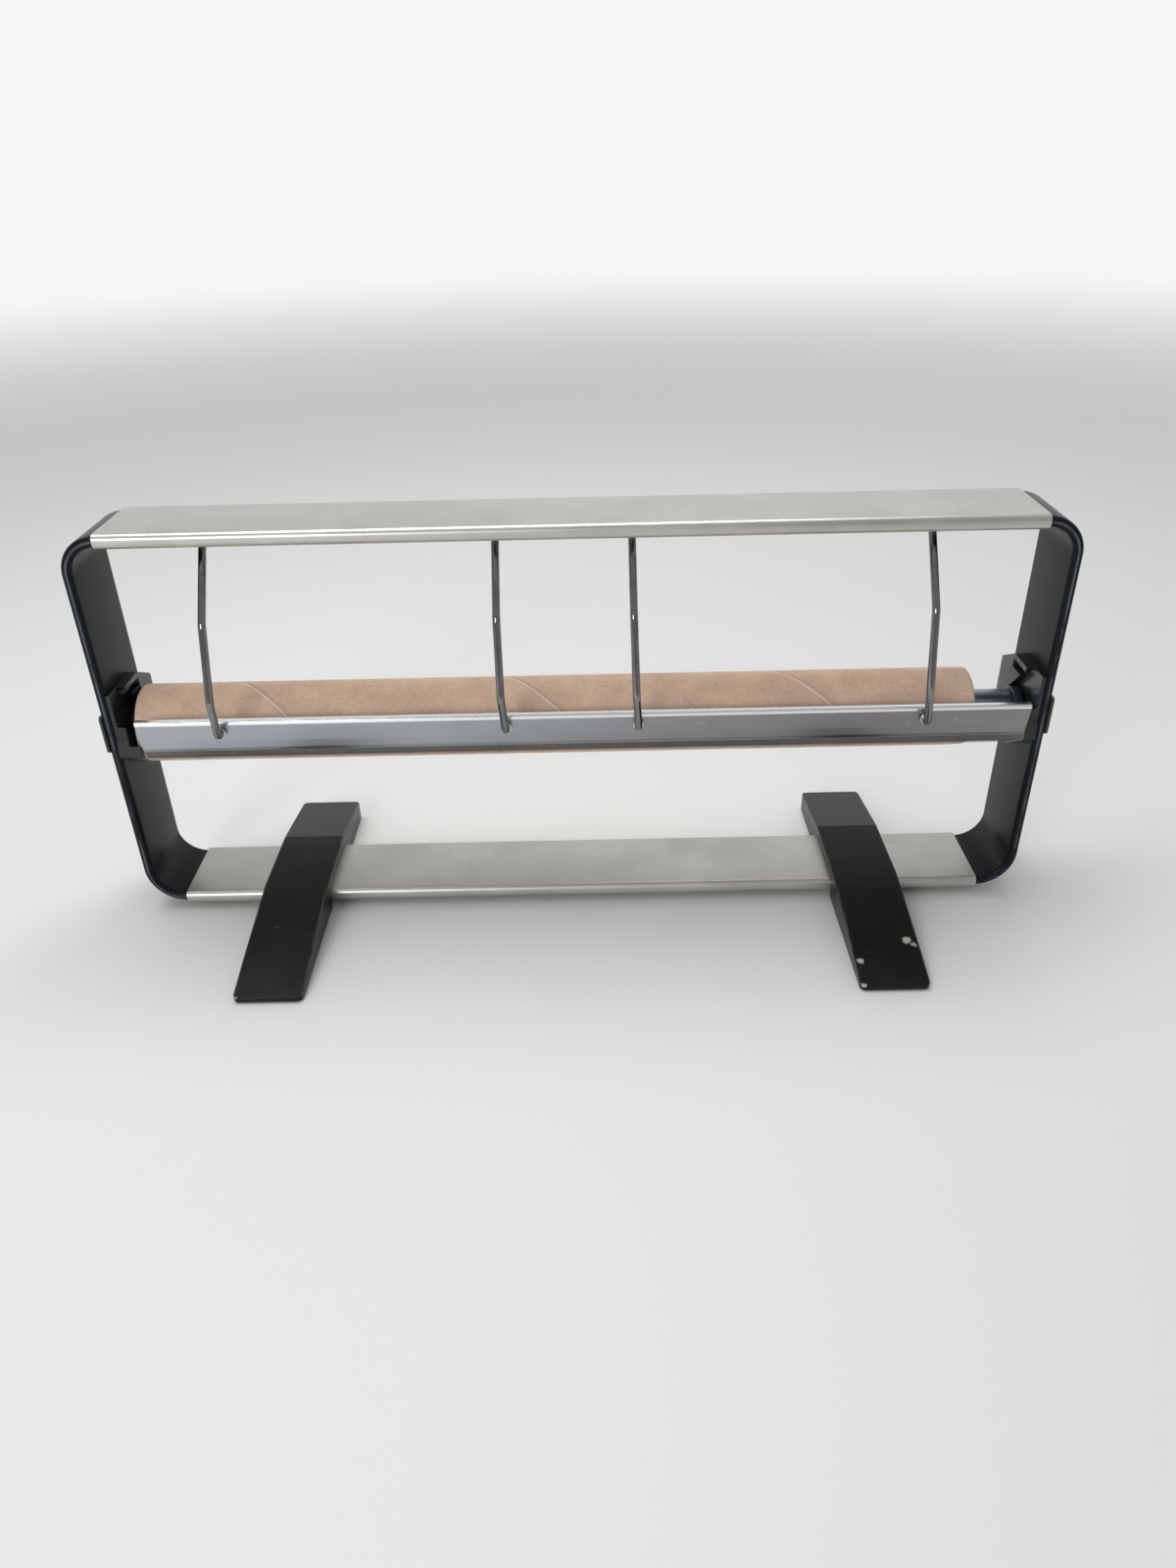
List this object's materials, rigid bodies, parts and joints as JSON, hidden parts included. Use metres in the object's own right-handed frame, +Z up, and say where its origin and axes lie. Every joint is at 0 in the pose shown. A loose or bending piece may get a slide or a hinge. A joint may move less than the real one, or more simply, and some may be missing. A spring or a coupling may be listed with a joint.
{
  "type": "gift wrap paper cutter",
  "caption": "Counter-top wrapping paper dispenser: an upright frame on arched feet holds a roll core on a shaft, with a serrated knife bar hanging in front on bent spring wires.",
  "frame": {"origin": "on the counter, under the middle of the feet", "axes": "+X along the rails to the right as seen by the user, -Y towards the user, +Z up"},
  "size_m": [0.566, 0.2, 0.25],
  "materials": {
    "rail": "satin anodised",
    "bracket": "satin powder coat",
    "foot": "satin paint",
    "pad": "matt",
    "screw": "zinc plated",
    "black_screw": "black oxide",
    "clamp": "zinc plated",
    "bearing": "natural",
    "holder": "glossy moulded",
    "backing_plate": "painted",
    "wire": "bright chrome",
    "collar": "bright chrome",
    "clip": "spring steel",
    "knife_bar": "brushed",
    "blade": "ground",
    "hub": "moulded",
    "shaft": "galvanised",
    "plug": "moulded",
    "core": "kraft cardboard"
  },
  "bodies": {
    "frame": {"left_bracket": "bracket", "right_bracket": "bracket", "top_rail": "rail", "bottom_rail": "rail", "left_foot": "foot", "right_foot": "foot", "left_foot_clamp": "clamp", "right_foot_clamp": "clamp", "left_foot_screws": "screw", "right_foot_screws": "screw", "left_foot_pads": "pad", "right_foot_pads": "pad", "top_set_screws": "black_screw", "bottom_set_screws": "black_screw", "left_outer_block": "bearing", "left_anchor": "clamp", "left_inner_block": "bearing", "right_inner_block": "bearing", "right_anchor": "clamp", "right_outer_block": "bearing", "left_block_screws": "black_screw", "right_block_screws": "black_screw", "left_holder": "holder", "right_holder": "holder", "left_backing_plate": "backing_plate", "right_backing_plate": "backing_plate", "left_holder_screws": "black_screw", "right_holder_screws": "black_screw"},
    "knife_swing": {"left_wire": "wire", "right_wire": "wire", "left_knobs": "collar", "right_knobs": "collar", "left_wire_clips": "clip", "right_wire_clips": "clip", "knife_bar": "knife_bar", "serrated_blade": "blade"},
    "hub_carrier": {"left_hub": "hub", "right_hub": "hub"},
    "shaft": {"shaft_tube": "shaft"},
    "core_set": {"core": "core", "left_core_plug": "plug", "right_core_plug": "plug"}
  },
  "joints": [
    {"name": "knife_swing_hinge", "type": "hinge", "parent": "frame", "child": "knife_swing", "pos_m": [0, 0.0185, 0.2453], "axis": [-1, 0, 0], "range_deg": [0, 35], "stiffness_Nm_per_rad": 1.5, "springref_deg": -28.65},
    {"name": "roll_lift", "type": "slide", "parent": "frame", "child": "hub_carrier", "axis": [0, -0.7071, 0.7071], "range_m": [0, 0.004]},
    {"name": "shaft_spin", "type": "hinge", "parent": "hub_carrier", "child": "shaft", "pos_m": [0, 0.0195, 0.123], "axis": [1, 0, 0], "continuous": true},
    {"name": "core_slide", "type": "slide", "parent": "shaft", "child": "core_set", "axis": [1, 0, 0], "range_m": [0, 0.024]}
  ]
}
